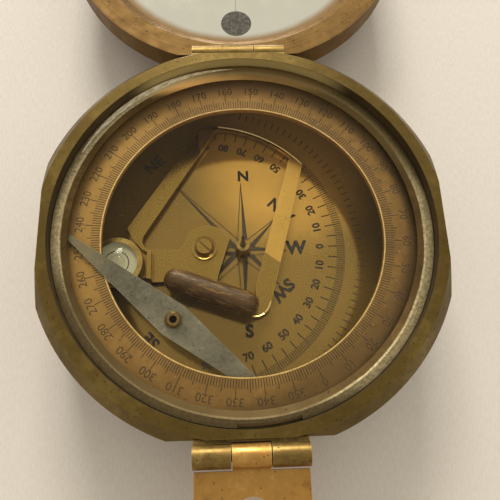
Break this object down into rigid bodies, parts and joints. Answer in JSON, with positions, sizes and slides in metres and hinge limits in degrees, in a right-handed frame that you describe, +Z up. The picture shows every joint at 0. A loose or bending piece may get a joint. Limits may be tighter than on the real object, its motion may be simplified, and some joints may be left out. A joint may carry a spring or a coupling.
{
  "type": "pocket transit",
  "caption": "Brass pocket transit with compass dial, clinometer arm, spirit levels, mirror lid and folding slotted sight arm.",
  "frame": {"origin": "centre of the case's base, under the compass pivot", "axes": "+Z up through the compass pivot, +Y towards the lid's hinge, +X towards the ring's pinion"},
  "size_m": [0.0826, 0.2295, 0.0257],
  "materials": {
    "case_brass": "turned brass with an olive patina, bright at worn edges",
    "dial_brass": "golden lacquered brass, engraved and filled black",
    "ring_brass": "coppery gold brass, engraved and filled black",
    "arm_brass": "satin sheet brass",
    "sight_brass": "rolled brass with a brown patina",
    "turned_brass": "turned brass, bright",
    "steel": "plain turned steel",
    "needle_steel": "blued steel, worn grey at the tips",
    "crystal_glass": "clear polished glass",
    "spirit": "aged spirit, brown and cloudy",
    "jewel": "polished stone cup",
    "mirror_glass": "silvered glass",
    "felt": "thin dark felt"
  },
  "bodies": {
    "case": {"case_body": "case_brass", "dial_plate": "dial_brass", "base_screws": "turned_brass", "pivot_post": "turned_brass", "pivot_pin": "steel", "pinion_bush": "case_brass", "crystal": "crystal_glass", "bezel_ring": "case_brass", "arbor_bush": "turned_brass", "lid_hinge_case_leaf": "sight_brass", "lid_hinge_pin": "steel", "case_hinge_screws": "turned_brass", "sight_hinge_leaf": "sight_brass", "sight_hinge_pin": "steel"},
    "ring": {"azimuth_ring": "ring_brass"},
    "pinion": {"ring_pinion": "turned_brass"},
    "needle": {"compass_needle": "needle_steel", "needle_hub": "turned_brass", "needle_jewel": "jewel"},
    "clinometer": {"clinometer_frame": "arm_brass", "clinometer_arbor": "turned_brass", "arm_washer": "arm_brass", "arm_screw": "turned_brass", "clinometer_lever": "arm_brass", "spring_washer": "steel", "lever_screw": "turned_brass", "vial_cradle": "arm_brass", "vial_glass": "crystal_glass", "vial_filling": "spirit", "bullseye_cup": "arm_brass", "bullseye_filling": "spirit", "bullseye_glass": "crystal_glass"},
    "lid": {"lid_shell": "case_brass", "mirror": "mirror_glass", "window_glass": "crystal_glass", "mirror_backing": "felt", "mirror_ring": "case_brass", "lid_hinge_lid_leaf": "sight_brass", "lid_hinge_screws": "turned_brass", "lid_sight_leaf": "sight_brass", "lid_sight_pin": "steel"},
    "lid_peep": {"lid_sight": "sight_brass"},
    "arm": {"sight_arm": "sight_brass", "tip_sight_pin": "steel"},
    "arm_tip": {"tip_sight": "sight_brass"}
  },
  "joints": [
    {"name": "lid_hinge", "type": "hinge", "parent": "case", "child": "lid", "pos_m": [0, 0.0424, 0.0205], "axis": [1, 0, 0], "range_deg": [0, 180]},
    {"name": "sight_arm_hinge", "type": "hinge", "parent": "case", "child": "arm", "pos_m": [0, -0.043, 0.0236], "axis": [-1, 0, 0], "range_deg": [0, 180]},
    {"name": "tip_sight_hinge", "type": "hinge", "parent": "arm", "child": "arm_tip", "pos_m": [0, -0.104, 0.02285], "axis": [-1, 0, 0], "range_deg": [-90, 0]},
    {"name": "lid_sight_hinge", "type": "hinge", "parent": "lid", "child": "lid_peep", "pos_m": [0, 0.1212, 0.0088], "axis": [-1, 0, 0], "range_deg": [-90, 0]},
    {"name": "clinometer_pivot", "type": "hinge", "parent": "case", "child": "clinometer", "pos_m": [-0.0086, 0.0003, 0], "axis": [0, 0, 1], "range_deg": [-155, 18]},
    {"name": "ring_turn", "type": "hinge", "parent": "case", "child": "ring", "pos_m": [0, 0, 0.0172], "axis": [0, 0, 1], "continuous": true},
    {"name": "pinion_turn", "type": "hinge", "parent": "case", "child": "pinion", "pos_m": [0.0382, 0, 0.01417], "axis": [1, 0, 0], "continuous": true},
    {"name": "needle_swing", "type": "hinge", "parent": "case", "child": "needle", "pos_m": [0, 0, 0.0168], "axis": [0, 0, 1], "continuous": true}
  ],
  "couplings": [
    {"joint": "pinion_turn", "follows": "ring_turn", "ratio": -15}
  ]
}
